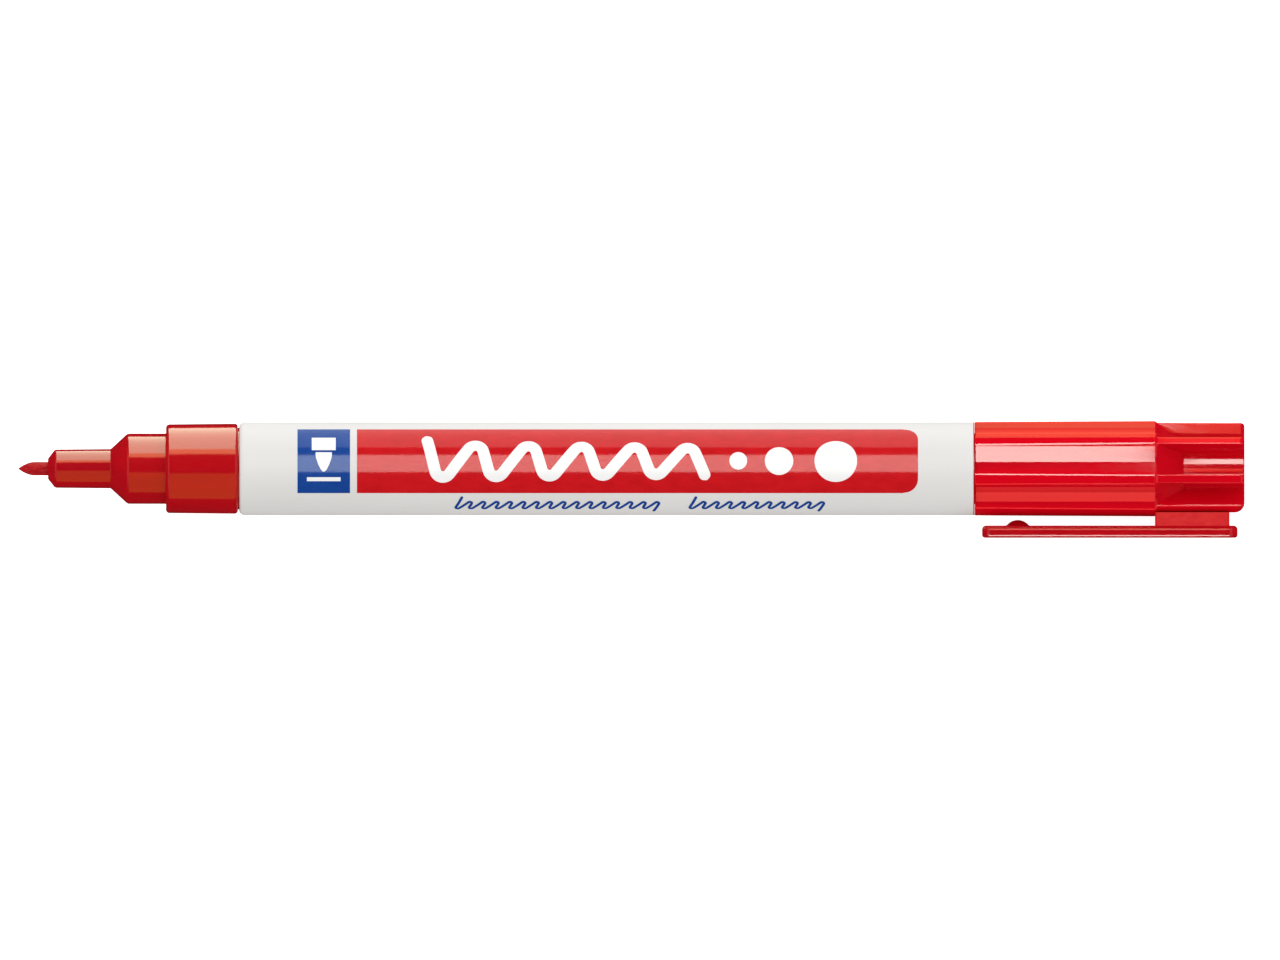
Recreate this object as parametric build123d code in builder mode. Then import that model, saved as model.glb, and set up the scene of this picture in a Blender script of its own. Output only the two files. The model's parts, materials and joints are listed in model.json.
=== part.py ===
from build123d import *

import os
from math import acos, atan2, cos, degrees, hypot, radians, sin, sqrt

# A bullet-nib marker lying on a flat surface with its cap posted on the rear plug.
# X runs along the pen with the nib at -X, and the origin is on the pen's axis half-way along the
# barrel. The pen is rolled until the clip's edge and the cap both touch the surface below it.

os.makedirs("parts", exist_ok=True)

# ---- Driving dimensions, in millimetres and degrees ----

barrel_r = 5.25
barrel_length = 82.83
barrel_wall = 0.4
barrel_lip_round = 0.6  # outer radius of the rolled front edge

nib_r = 0.8
nib_out = 3.385  # nib standing out of the tube
nib_point = 1.9  # length of the rounded point
nib_tail = 7.5  # nib inside the reservoir
nib_point_slope = (0.35, 0.61)  # a point on the ogive, as shares of its length and the rod's radius
nib_clearance = 0.01

nose_r, nose_length = 1.15, 0.78  # bevelled front end of the tube
nose_rounds = (0.15, 0.5)
tube_r_front, tube_r_rear, tube_length = 2.16, 2.215, 7.07
cone_length = 1.9
seat_r, seat_length, seat_round = 3.965, 4.345, 0.6
collar_r_front, collar_r_rear, collar_length = 5.0, 5.08, 8.1
collar_round_front, collar_round_rear = 0.4, 0.35
collar_gap = 0.15  # dark joint between the collar and the barrel
neck_r = 4.6
spigot_length = 8.0
tube_bore_r = 0.83
chamber_r = 2.9  # air chamber round the nib, under the seat
buffer_r = 4.0  # wider chamber under the collar and the spigot
buffer_start = 1.2  # taper behind the shoulder, where the chamber widens
spigot_round = 0.3

press_gap = 0.02  # radial gap of a pushed-in part
core_r = 4.55
film = 0.1
film_gap = 0.02
core_length = 68.0
core_gap = 0.1  # spigot to the reservoir

plug_depth = 6.0  # plug inside the barrel
plug_wall = 0.9
flange, flange_round = 0.12, 0.05
post_length, post_round, post_round_inner = 8.93, 0.8, 0.4

cap_length = 30.425
cap_gap = 0.03  # hairline between the flange and the cap's mouth
cap_r_mouth, cap_r = 5.275, 5.375
mouth_round, mouth_round_inner = 0.12, 0.15
sleeve_length = 20.325  # mouth to where the fins start
cap_bore_r = 3.995
cap_bore_length = 19.75
tip_bore_r, tip_bore_end, tip_bore_round = 1.7, 28.65, 0.3
tip_bore_lead = 0.6  # the bore is down to the tip bore this far before the fins' full depth

rib_count = 7  # equal divisions; the one at the clip is left unfluted
flute_half_angle = 20.3
flute_r = 5.1
fin_r, fin_core_r = 5.17, 2.74
fin_round = 0.45
ramp_length = 3.2
clip_sector = 36.0  # half angle of the solid sector that carries the clip
clip_pad, pad_round = 4.94, 1.1  # flat on that sector, from the pen's axis, and its rounded rear corner

clip_width = 5.56
clip_length = 28.82
clip_start = 0.82  # cap mouth to the tip of the clip
clip_outer = 7.79  # outer face, from the pen's axis
clip_thick = 1.37
clip_round = 0.3
clip_round_inner = 0.45
clip_corner = 1.0  # corners of the clip seen from outside
root_length, root_width = 8.4, 5.0
root_seat = 4.2  # floor of the root's pocket in the cap, from the pen's axis
root_clearance = 0.02
flex_gap = 0.05
bump_from_tip, bump_r, bump_height = 4.03, 1.6, 0.63

# ---- Places along the pen ----

x_front = -barrel_length / 2
x_rear = barrel_length / 2
x_collar_rear = x_front - collar_gap
x_collar = x_collar_rear - collar_length
x_seat = x_collar - seat_length
x_cone = x_seat - cone_length
x_tube = x_cone - tube_length
x_nib = x_tube - nib_out
x_spigot = x_front + spigot_length
x_flange = x_rear + flange
x_mouth = x_flange + cap_gap
x_sleeve = x_mouth + sleeve_length
x_ramp = x_sleeve + ramp_length
x_cap = x_mouth + cap_length
x_clip = x_mouth + clip_start
x_clip_end = x_clip + clip_length
x_root = x_sleeve

# ---- The lying pose: the cap's radius and the clip's rounded edge reach the same depth ----

edge_along = clip_outer - clip_round
edge_across = clip_width / 2 - clip_round
edge_angle = degrees(atan2(edge_across, edge_along))
roll = edge_angle + degrees(acos((cap_r - clip_round) / hypot(edge_along, edge_across)))
clip_y, clip_z = -sin(radians(roll)), -cos(radians(roll))

# In the side plane, local x runs along the pen and local y points straight away from the clip.
side = Plane(origin=(0, 0, 0), x_dir=(1, 0, 0), z_dir=(0, clip_z, -clip_y))


def section(x):
    """The plane across the pen at x, its local x axis pointing at the clip."""
    return Plane(origin=(x, 0, 0), x_dir=(0, clip_y, clip_z), z_dir=(1, 0, 0))


def profile(*corners):
    """A closed face in the side plane, from corners given as (x, radius, rounding)."""
    with BuildSketch(side) as face:
        with BuildLine():
            FilletPolyline(
                *[(x, r) for x, r, _ in corners],
                radius=[rounding for _, _, rounding in corners],
                close=True,
            )
        make_face()
    return face.sketch


# ---- Nib: a fibre rod ground to a bullet point ----

x_nib_end = x_spigot + nib_tail
with BuildPart() as nib:
    with BuildSketch(side):
        with BuildLine():
            Spline(
                (x_nib, 0),
                (x_nib + nib_point_slope[0] * nib_point, nib_point_slope[1] * nib_r),
                (x_nib + nib_point, nib_r),
                tangents=((0.35, 1), (1, 0)),
            )
            Polyline((x_nib + nib_point, nib_r), (x_nib_end, nib_r), (x_nib_end, 0), (x_nib, 0))
        make_face()
    revolve(axis=Axis.X)

# ---- Nib holder: one hollow moulding from the narrow tube to the spigot in the barrel ----

spigot_r = barrel_r - barrel_wall - press_gap
with BuildPart() as nib_holder:
    revolve(
        profile(
            (x_tube, tube_bore_r, 0),
            (x_tube, nose_r, nose_rounds[0]),
            (x_tube + nose_length, tube_r_front, nose_rounds[1]),
            (x_cone, tube_r_rear, 0),
            (x_seat, seat_r, seat_round),
            (x_collar, seat_r, 0),
            (x_collar, collar_r_front, collar_round_front),
            (x_collar_rear, collar_r_rear, collar_round_rear),
            (x_collar_rear, neck_r, 0),
            (x_front + barrel_lip_round, neck_r, 0),
            (x_front + barrel_lip_round, spigot_r, 0),
            (x_spigot, spigot_r, spigot_round),
            (x_spigot, buffer_r, 0),
            (x_collar + buffer_start, buffer_r, 0),
            (x_collar, chamber_r, 0),
            (x_seat, chamber_r, 0),
            (x_cone, tube_bore_r, 0),
        ),
        axis=Axis.X,
    )

# ---- Barrel: a drawn tube, its front edge rolled in over the holder's neck ----

barrel_bore = barrel_r - barrel_wall
lip_x = x_front + barrel_lip_round
lip_r = barrel_r - barrel_lip_round
with BuildPart() as barrel:
    with BuildSketch(side):
        with BuildLine():
            CenterArc((lip_x, lip_r), barrel_lip_round, 90, 90)
            Line((x_front, lip_r), (x_front + barrel_wall, lip_r))
            CenterArc((lip_x, lip_r), barrel_lip_round - barrel_wall, 90, 90)
            Polyline(
                (lip_x, barrel_bore), (x_rear, barrel_bore), (x_rear, barrel_r), (lip_x, barrel_r)
            )
        make_face()
    revolve(axis=Axis.X)

# ---- Ink reservoir and the film round it, between the holder and the rear plug ----

x_core = x_spigot + core_gap
x_core_end = x_core + core_length
with BuildPart() as ink_reservoir:
    with BuildSketch(section(x_core)):
        Circle(core_r)
    extrude(amount=core_length)
    with BuildSketch(section(x_core)):
        Circle(nib_r + nib_clearance)
    extrude(amount=nib_tail, mode=Mode.SUBTRACT)

with BuildPart() as reservoir_film:
    with BuildSketch(section(x_core)):
        Circle(core_r + film_gap + film)
        Circle(core_r + film_gap, mode=Mode.SUBTRACT)
    extrude(amount=core_length)

# ---- Rear plug: a hollow cup pushed into the barrel, with the spigot that carries the cap ----

x_plug = x_rear - plug_depth
x_post = x_flange + post_length
with BuildPart() as rear_plug:
    revolve(
        profile(
            (x_plug, seat_r - plug_wall, 0),
            (x_plug, spigot_r, spigot_round),
            (x_rear, spigot_r, 0),
            (x_rear, barrel_r, 0),
            (x_flange, barrel_r, flange_round),
            (x_flange, seat_r, 0),
            (x_post, seat_r, post_round),
            (x_post, 0, 0),
            (x_post - plug_wall, 0, 0),
            (x_post - plug_wall, seat_r - plug_wall, post_round_inner),
        ),
        axis=Axis.X,
    )

# ---- Cap: a fluted sleeve that closes to a finned core ----

rib_step = 360 / rib_count
flute_angles = [rib_step * turn for turn in range(1, rib_count)]
flute_half_chord = cap_r * sin(radians(flute_half_angle))
flute_chord = cap_r * cos(radians(flute_half_angle))
flute_bottom = flute_chord + sqrt(flute_r**2 - flute_half_chord**2) - flute_r
beyond = 1.0  # how far the cutters run past the surface


def polar(radius, angle):
    """A point in a section plane, its angle counted from the clip."""
    return (radius * cos(radians(angle)), radius * sin(radians(angle)))


def opening(x, flute_angle, floor_at, floor_r, floor_mode):
    """The space between two fins at x, over a round floor centred floor_at out from the axis."""
    low = max(flute_angle - flute_half_angle, clip_sector)
    high = min(flute_angle + flute_half_angle, 360 - clip_sector)
    with BuildSketch(section(x)) as space:
        with BuildLine():
            Polyline((0, 0), polar(2 * cap_r, low), polar(2 * cap_r, high), close=True)
        make_face()
        Circle(cap_r + beyond, mode=Mode.INTERSECT)
        with Locations(polar(floor_at, flute_angle)):
            Circle(floor_r, mode=floor_mode)
    return space.sketch


with BuildPart() as cap_body:
    revolve(
        profile(
            (x_mouth, cap_bore_r, mouth_round_inner),
            (x_mouth, cap_r_mouth, mouth_round),
            (x_sleeve, cap_r, 0),
            (x_sleeve, fin_r, 0),
            (x_cap, fin_r, fin_round),
            (x_cap, 0, 0),
            (x_mouth + tip_bore_end, 0, 0),
            (x_mouth + tip_bore_end, tip_bore_r, tip_bore_round),
            (x_ramp - tip_bore_lead, tip_bore_r, 0),
            (x_mouth + cap_bore_length, cap_bore_r, 0),
        ),
        axis=Axis.X,
    )
    with BuildSketch(section(x_mouth - beyond)):
        with Locations([polar(flute_bottom + flute_r, angle) for angle in flute_angles]):
            Circle(flute_r)
    extrude(amount=sleeve_length + beyond, mode=Mode.SUBTRACT)
    for angle in flute_angles:
        start = opening(x_sleeve, angle, flute_bottom + flute_r, flute_r, Mode.INTERSECT)
        end = opening(x_ramp, angle, fin_core_r + flute_r, flute_r, Mode.INTERSECT)
        loft([start.face(), end.face()], ruled=True, mode=Mode.SUBTRACT)
        extrude(
            opening(x_ramp, angle, 0, fin_core_r, Mode.SUBTRACT),
            amount=x_cap - x_ramp + beyond,
            mode=Mode.SUBTRACT,
        )
    with BuildSketch(side):
        with BuildLine():
            FilletPolyline(
                (x_sleeve, -clip_pad),
                (x_cap, -clip_pad),
                (x_cap, -clip_pad + 2 * pad_round),
                (x_cap + beyond, -clip_pad + 2 * pad_round),
                (x_cap + beyond, -clip_pad - beyond),
                (x_sleeve, -clip_pad - beyond),
                radius=[0, pad_round, 0, 0, 0, 0],
                close=True,
            )
        make_face()
    extrude(amount=cap_r, both=True, mode=Mode.SUBTRACT)
    with BuildSketch(side):
        with Locations((x_root + root_length / 2, -root_seat - beyond)):
            Rectangle(root_length + 2 * root_clearance, 2 * beyond)
    extrude(amount=root_width / 2 + root_clearance, both=True, mode=Mode.SUBTRACT)

# ---- Pocket clip: a rounded bar, cut at the line where its blade flexes ----

clip_inner = clip_outer - clip_thick
outside = Plane(
    origin=((x_clip + x_clip_end) / 2, clip_y * clip_outer, clip_z * clip_outer),
    x_dir=(1, 0, 0),
    z_dir=(0, -clip_y, -clip_z),
)


def clip_bar():
    """The whole bar of the clip, from its tip to its rear end."""
    with BuildPart() as bar:
        with BuildSketch(outside):
            RectangleRounded(clip_length, clip_width, clip_corner)
        extrude(amount=clip_thick)
        outward = Axis(outside.origin, outside.z_dir)
        fillet(bar.faces().sort_by(outward)[0].edges(), clip_round)
        fillet(bar.faces().sort_by(outward)[-1].edges(), clip_round_inner)
    return bar.part


x_bump = x_clip + bump_from_tip
bump_half = sqrt(bump_r**2 - (bump_r - bump_height) ** 2)
with BuildPart() as clip_arm:
    add(clip_bar())
    split(bisect_by=section(x_root - flex_gap), keep=Keep.BOTTOM)
    with BuildSketch(side):
        with BuildLine():
            RadiusArc((x_bump, -clip_inner + bump_height), (x_bump + bump_half, -clip_inner), bump_r)
            Polyline(
                (x_bump + bump_half, -clip_inner),
                (x_bump + bump_half, -clip_inner - bump_height),
                (x_bump, -clip_inner - bump_height),
                (x_bump, -clip_inner + bump_height),
            )
        make_face()
    revolve(axis=Axis((x_bump, 0, 0), outside.z_dir))

with BuildPart() as clip_root:
    add(clip_bar())
    split(bisect_by=section(x_root), keep=Keep.TOP)
    with BuildSketch(side):
        with Locations((x_root + root_length / 2, -(root_seat + clip_inner + beyond) / 2)):
            Rectangle(root_length, clip_inner + beyond - root_seat - 2 * root_clearance)
    extrude(amount=root_width / 2, both=True)

# ---- One file for each piece ----

pieces = {
    "nib": nib,
    "nib_holder": nib_holder,
    "barrel": barrel,
    "ink_reservoir": ink_reservoir,
    "reservoir_film": reservoir_film,
    "rear_plug": rear_plug,
    "cap_body": cap_body,
    "clip_arm": clip_arm,
    "clip_root": clip_root,
}
for name, piece in pieces.items():
    piece.part.label = name
    export_step(piece.part, f"parts/{name}.step")
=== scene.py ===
import json
from cmath import phase, rect
from math import cos, pi, radians, sin, sqrt, tan

import bmesh
import bpy
from mathutils import Matrix, Vector

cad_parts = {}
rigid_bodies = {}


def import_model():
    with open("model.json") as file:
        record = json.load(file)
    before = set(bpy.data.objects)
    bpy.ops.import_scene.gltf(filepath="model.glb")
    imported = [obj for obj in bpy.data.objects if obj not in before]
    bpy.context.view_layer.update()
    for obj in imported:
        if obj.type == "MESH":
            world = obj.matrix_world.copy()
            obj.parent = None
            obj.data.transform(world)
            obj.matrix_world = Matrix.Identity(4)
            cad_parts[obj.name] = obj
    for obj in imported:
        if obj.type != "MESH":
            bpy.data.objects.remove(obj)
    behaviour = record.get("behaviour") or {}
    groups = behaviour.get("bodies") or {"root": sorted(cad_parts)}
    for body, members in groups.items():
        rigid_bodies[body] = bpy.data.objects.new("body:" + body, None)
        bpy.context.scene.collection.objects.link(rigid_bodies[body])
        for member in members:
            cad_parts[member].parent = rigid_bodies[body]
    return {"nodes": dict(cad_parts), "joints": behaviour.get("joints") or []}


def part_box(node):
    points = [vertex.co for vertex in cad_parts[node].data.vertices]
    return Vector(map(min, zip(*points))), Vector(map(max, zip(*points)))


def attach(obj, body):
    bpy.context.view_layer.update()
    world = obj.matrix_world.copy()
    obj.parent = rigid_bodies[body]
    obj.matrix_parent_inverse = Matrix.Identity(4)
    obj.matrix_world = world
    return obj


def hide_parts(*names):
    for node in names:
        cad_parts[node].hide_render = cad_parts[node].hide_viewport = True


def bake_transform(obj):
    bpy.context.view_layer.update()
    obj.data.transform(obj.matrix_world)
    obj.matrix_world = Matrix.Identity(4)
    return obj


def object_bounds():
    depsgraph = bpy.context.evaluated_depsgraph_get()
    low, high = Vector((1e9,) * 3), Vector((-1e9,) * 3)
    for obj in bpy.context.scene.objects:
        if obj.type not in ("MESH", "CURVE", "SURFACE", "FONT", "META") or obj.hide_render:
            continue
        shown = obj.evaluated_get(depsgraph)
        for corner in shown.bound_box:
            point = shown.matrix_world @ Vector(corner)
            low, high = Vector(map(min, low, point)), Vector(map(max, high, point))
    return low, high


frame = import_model()
cad_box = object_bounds()

# ---- Nib holder ----
# The red front section: one hollow polypropylene moulding, a narrow tube, a cone, the smooth seat that the
# closed cap grips, and a wide collar. A spigot behind the collar is pushed into the barrel.

mm = 0.001
along = Vector((1, 0, 0))
facing = Vector(next(j["axis"] for j in frame["joints"] if j["name"] == "clip_flex"))
to_clip = along.cross(facing)


def reach(node):
    """Where a piece starts and ends along the pen, in millimetres."""
    low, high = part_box(node)
    return low.x / mm, high.x / mm


def on_pen(x, across):
    """A point from millimetres along the pen and a complex number, real towards the clip."""
    return (along * x + to_clip * across.real + facing * across.imag) * mm


def rounded(corners, steps=8, hold=0.03):
    """A closed profile from (along, radius, rounding) corners. A point beside each arc holds the flat."""
    profile = []
    for i, (x, r, rounding) in enumerate(corners):
        corner = complex(x, r)
        if not rounding:
            profile.append(corner)
            continue
        back = complex(*corners[i - 1][:2]) - corner
        ahead = complex(*corners[(i + 1) % len(corners)][:2]) - corner
        back, ahead = back / abs(back), ahead / abs(ahead)
        half = abs(phase(ahead / back)) / 2
        run = rounding / tan(half)
        centre = corner + (back + ahead) / abs(back + ahead) * rounding / sin(half)
        first = corner + back * run - centre
        turn = phase((corner + ahead * run - centre) / first)
        profile.append(corner + back * (run + hold))
        profile += [centre + first * rect(1, turn * k / steps) for k in range(steps + 1)]
        profile.append(corner + ahead * (run + hold))
    return profile


def keep_mesh(name, shell, material, crease=32):
    """Closes a worked shell: doubles merged, faces outward, soft shading up to the crease angle."""
    bmesh.ops.remove_doubles(shell, verts=shell.verts, dist=0.0004 * mm)
    bmesh.ops.dissolve_degenerate(shell, edges=shell.edges, dist=0.0001 * mm)
    bmesh.ops.recalc_face_normals(shell, faces=shell.faces)
    mesh = bpy.data.meshes.new(name)
    shell.to_mesh(mesh)
    shell.free()
    mesh.shade_smooth()
    mesh.set_sharp_from_angle(angle=radians(crease))
    mesh.materials.append(material)
    piece = bpy.data.objects.new(name, mesh)
    bpy.context.scene.collection.objects.link(piece)
    return piece


def turned(name, profile, material, around=256):
    """A piece turned about the pen's axis from a closed profile."""
    shell = bmesh.new()
    rings = []
    for point in profile:
        if point.imag < 1e-6:
            rings.append([shell.verts.new(on_pen(point.real, 0j))] * around)
        else:
            spots = (rect(point.imag, 2 * pi * k / around) for k in range(around))
            rings.append([shell.verts.new(on_pen(point.real, spot)) for spot in spots])
    for here, there in zip(rings, rings[1:] + rings[:1]):
        for k in range(around):
            face = dict.fromkeys((here[k], here[k - 1], there[k - 1], there[k]))
            if len(face) > 2:
                shell.faces.new(face)
    return keep_mesh(name, shell, material)


def put(tree, kind, *ordered, settings=None, **named):
    """Adds a node: settings are its own, the rest feed its sockets with values or other nodes' outputs."""
    node = tree.nodes.new(kind)
    for key, value in (settings or {}).items():
        setattr(node, key, value)
    feeds = [(node.inputs[i], value) for i, value in enumerate(ordered) if value is not None]
    feeds += [(node.inputs[key.replace("_", " ")], value) for key, value in named.items()]
    for socket, value in feeds:
        if isinstance(value, bpy.types.NodeSocket):
            tree.links.new(value, socket)
        else:
            socket.default_value = value
    return node


def sum_of(tree, how, *values):
    """The output of one math node."""
    return put(tree, "ShaderNodeMath", *values, settings={"operation": how}).outputs[0]


def ranged(tree, value, low, high, to_low, to_high):
    """A value carried from one range to another, held at both ends."""
    return put(tree, "ShaderNodeMapRange", value, low, high, to_low, to_high).outputs[0]


def mixed(tree, share, one, other):
    """A colour between two, by share."""
    node = put(tree, "ShaderNodeMix", settings={"data_type": "RGBA"})
    for socket, value in zip((node.inputs[0], node.inputs[6], node.inputs[7]), (share, one, other)):
        if isinstance(value, bpy.types.NodeSocket):
            tree.links.new(value, socket)
        else:
            socket.default_value = value if isinstance(value, float) else (*value, 1)
    return node.outputs[2]


def grain(tree, size, stretch=1.0, detail=3.0, seed=0.0):
    """Noise with specks of a size in millimetres, drawn out along the pen by the stretch."""
    spot = put(tree, "ShaderNodeTexCoord").outputs["Object"]
    laid = put(tree, "ShaderNodeMapping", Vector=spot, Location=(seed, seed, 0), Scale=(1 / stretch, 1, 1))
    noise = put(tree, "ShaderNodeTexNoise", Vector=laid.outputs[0], Scale=1 / (size * mm), Detail=detail)
    return noise.outputs["Fac"]


def from_axis(tree):
    """Distance from the pen's axis, in millimetres."""
    spot = put(tree, "ShaderNodeTexCoord").outputs["Object"]
    flat = put(tree, "ShaderNodeVectorMath", spot, (0, 1, 1), settings={"operation": "MULTIPLY"})
    length = put(tree, "ShaderNodeVectorMath", flat.outputs[0], settings={"operation": "LENGTH"})
    return sum_of(tree, "DIVIDE", length.outputs["Value"], mm)


def finish_of(name):
    """A new material: its tree and its surface shader."""
    material = bpy.data.materials.new(name)
    material.use_nodes = True
    return material, material.node_tree, material.node_tree.nodes["Principled BSDF"]


def moulded(name, bright, deep, tone_and_shade_share, rough, pitted, texture):
    """Coloured plastic: the pigment's flow drawn out along the pen, and the mould's fine eroded skin. The
    base runs from deep to bright by a share that each piece gives: painted shade towards the axis on some
    pieces, random pigment tone on others.
    """
    material, tree, skin = finish_of(name)
    flow = ranged(tree, grain(tree, 1.6, stretch=9, detail=4), 0.3, 0.7, -0.16, 0.16)
    # The piece's own share: painted shade on some pieces, random pigment tone on others.
    share = sum_of(tree, "ADD", tone_and_shade_share(tree), flow)
    colour = mixed(tree, ranged(tree, share, 0, 1, 0, 1), deep, bright)
    tree.links.new(colour, skin.inputs["Base Color"])
    worn = grain(tree, 0.5, stretch=3, detail=5, seed=0.3)
    tree.links.new(ranged(tree, worn, 0.3, 0.7, rough * 0.8, rough * 1.25), skin.inputs["Roughness"])
    skin_grain = grain(tree, texture, detail=2)
    bump = put(tree, "ShaderNodeBump", Strength=pitted, Distance=0.02 * mm, Height=skin_grain)
    tree.links.new(bump.outputs[0], skin.inputs["Normal"])
    return material


section_red = moulded(
    "section_satin_red",
    bright=(0.60, 0.003, 0.008),
    deep=(0.40, 0.0015, 0.008),
    # Painted shade: the red darkens towards the axis, on the narrow tube, the cone and the bore.
    tone_and_shade_share=lambda tree: ranged(tree, from_axis(tree), 1.0, 5.1, 0.35, 0.6),
    rough=0.1,
    pitted=0.2,
    texture=0.12,
)

tube_length, cone_length, seat_length, collar_length = 7.07, 1.9, 4.345, 8.1
nose_length, nose_r, tube_r_front, tube_r_rear = 0.78, 1.15, 2.16, 2.215
seat_r, collar_r_front, collar_r_rear = 3.965, 5.0, 5.08
neck_r, neck_overlap, spigot_r = 4.6, 0.6, 4.83
tube_bore_r, chamber_r, buffer_r, buffer_start = 0.83, 2.9, 4.0, 1.2
nose_edge, nose_round, tube_edge, seat_round = 0.15, 0.5, 0.18, 0.6
collar_round_front, collar_round_rear, spigot_round, broken_edge = 0.4, 0.35, 0.3, 0.08

x_tube, x_spigot = reach("nib_holder")
x_cone = x_tube + tube_length
x_seat = x_cone + cone_length
x_collar = x_seat + seat_length
x_collar_rear = x_collar + collar_length
x_front = reach("barrel")[0]
x_neck_end = x_front + neck_overlap
nib_holder = turned(
    "nib_holder_moulding",
    rounded([
        (x_tube, tube_bore_r, broken_edge),
        (x_tube, nose_r, nose_edge),
        (x_tube + nose_length, tube_r_front, nose_round),
        (x_cone, tube_r_rear, tube_edge),
        (x_seat, seat_r, seat_round),
        (x_collar, seat_r, broken_edge),
        (x_collar, collar_r_front, collar_round_front),
        (x_collar_rear, collar_r_rear, collar_round_rear),
        (x_collar_rear, neck_r, 0.05),
        (x_neck_end, neck_r, 0),
        (x_neck_end, spigot_r, 0.1),
        (x_spigot, spigot_r, spigot_round),
        (x_spigot, buffer_r, 0.1),
        (x_collar + buffer_start, buffer_r, 0),
        (x_collar, chamber_r, 0),
        (x_seat, chamber_r, 0),
        (x_cone, tube_bore_r, 0),
    ]),
    section_red,
)
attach(nib_holder, "pen")
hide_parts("nib_holder")

# ---- Nib ----
# A rod of acrylic fibres bonded side by side, soaked in red ink and ground to a bullet point. It is pressed
# through the holder's tube until its tail stands in the reservoir. The strands lie round a solid middle.

x_nib, x_nib_end = reach("nib")
nib_r, nib_point, ogive_power, strand_r, strand_count = 0.8, 1.9, 0.85, 0.055, 46
middle_r, middle_set_back, crowding = nib_r - strand_r * 0.6, 0.03, 2.2


def modified(piece, tree, sizes):
    """Leaves a piece with the plain mesh that a node tree makes of it, for these named inputs."""
    modifier = piece.modifiers.new(tree.name, "NODES")
    modifier.node_group = tree
    for socket in tree.interface.items_tree:
        if socket.item_type == "SOCKET" and socket.in_out == "INPUT" and socket.name in sizes:
            modifier[socket.identifier] = sizes[socket.name]
    worked = piece.evaluated_get(bpy.context.evaluated_depsgraph_get())
    mesh = bpy.data.meshes.new_from_object(worked)
    piece.modifiers.remove(modifier)
    piece.data = mesh
    return piece


def new_tree(name, sizes):
    """An empty geometry tree with a named input for each size, its group input and its group output."""
    tree = bpy.data.node_groups.new(name, "GeometryNodeTree")
    tree.interface.new_socket("Geometry", in_out="INPUT", socket_type="NodeSocketGeometry")
    tree.interface.new_socket("Geometry", in_out="OUTPUT", socket_type="NodeSocketGeometry")
    kinds = {int: "NodeSocketInt", float: "NodeSocketFloat", tuple: "NodeSocketVector"}
    for key, value in sizes.items():
        kind = kinds.get(type(value), "NodeSocketMaterial")
        tree.interface.new_socket(key, in_out="INPUT", socket_type=kind)
    return tree, put(tree, "NodeGroupInput").outputs, put(tree, "NodeGroupOutput").inputs


def end_tree(tree, geometry, material, result):
    """Every tree ends as real geometry with its finish on."""
    real = put(tree, "GeometryNodeRealizeInstances", geometry).outputs[0]
    put_on = put(tree, "GeometryNodeSetMaterial", real, Material=material).outputs[0]
    tree.links.new(put_on, result)


nib_ink, nib_tree, nib_skin = finish_of("inked_fibre")
soak = grain(nib_tree, 0.35, stretch=5, detail=4)
fibre = grain(nib_tree, 0.07, stretch=7, detail=3, seed=0.7)
soaked = ranged(nib_tree, soak, 0.3, 0.7, 0, 1)
# Pale specks on the fibres are painted glints of light.
painted_glints = ranged(nib_tree, fibre, 0.58, 0.7, 0, 0.4)
nib_colour = mixed(nib_tree, soaked, (0.38, 0.003, 0.009), (0.54, 0.012, 0.016))
nib_colour = mixed(nib_tree, painted_glints, nib_colour, (0.72, 0.16, 0.13))
nib_tree.links.new(nib_colour, nib_skin.inputs["Base Color"])
nib_skin.inputs["Roughness"].default_value = 0.55
nib_skin.inputs["Specular IOR Level"].default_value = 0.05
fibre_bump = put(nib_tree, "ShaderNodeBump", Strength=0.6, Distance=0.02 * mm, Height=fibre)
nib_tree.links.new(fibre_bump.outputs[0], nib_skin.inputs["Normal"])

bullet = [complex(x_nib_end, 0), complex(x_nib_end, middle_r)]
for step in range(24, -1, -1):
    share = step / 24
    ogive_r = middle_r * sin(pi / 2 * share) ** ogive_power
    bullet.append(complex(x_nib + nib_point * share + middle_set_back, ogive_r))
nib = turned("nib_fibre_rod", bullet, nib_ink, around=64)

strand_sizes = {
    "Strands": strand_count,
    "Tip": (x_nib + strand_r) * mm,
    "Length": (x_nib_end - x_nib - strand_r) * mm,
    "Point": nib_point * mm,
    "Rod radius": nib_r * mm,
    "Strand radius": strand_r * mm,
    "Seed": 11,
    "Ink": nib_ink,
}
bundle, sizes, result = new_tree("fibre_bundle", strand_sizes)
line = put(bundle, "GeometryNodeCurvePrimitiveLine", End=(1, 0, 0)).outputs[0]
line = put(bundle, "GeometryNodeResampleCurve", line, Count=72).outputs["Curve"]
share = put(bundle, "GeometryNodeSplineParameter").outputs["Factor"]
share = sum_of(bundle, "POWER", share, crowding)
run = sum_of(bundle, "MULTIPLY", share, sizes["Length"])
ogive = sum_of(bundle, "MINIMUM", sum_of(bundle, "DIVIDE", run, sizes["Point"]), 1.0)
ogive = sum_of(bundle, "SINE", sum_of(bundle, "MULTIPLY", ogive, pi / 2))
ogive = sum_of(bundle, "POWER", ogive, ogive_power)
height = sum_of(bundle, "SUBTRACT", sizes["Rod radius"], sizes["Strand radius"])
height = sum_of(bundle, "MULTIPLY", height, ogive)
reached = sum_of(bundle, "ADD", sizes["Tip"], run)
spot = put(bundle, "ShaderNodeCombineXYZ", reached, height, 0.0).outputs[0]
line = put(bundle, "GeometryNodeSetPosition", line, Position=spot).outputs[0]
thin = sum_of(bundle, "ADD", sum_of(bundle, "MULTIPLY", ogive, 0.75), 0.25)
ring = put(bundle, "GeometryNodeCurvePrimitiveCircle", Resolution=7, Radius=sizes["Strand radius"])
ring = ring.outputs[0]
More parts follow.
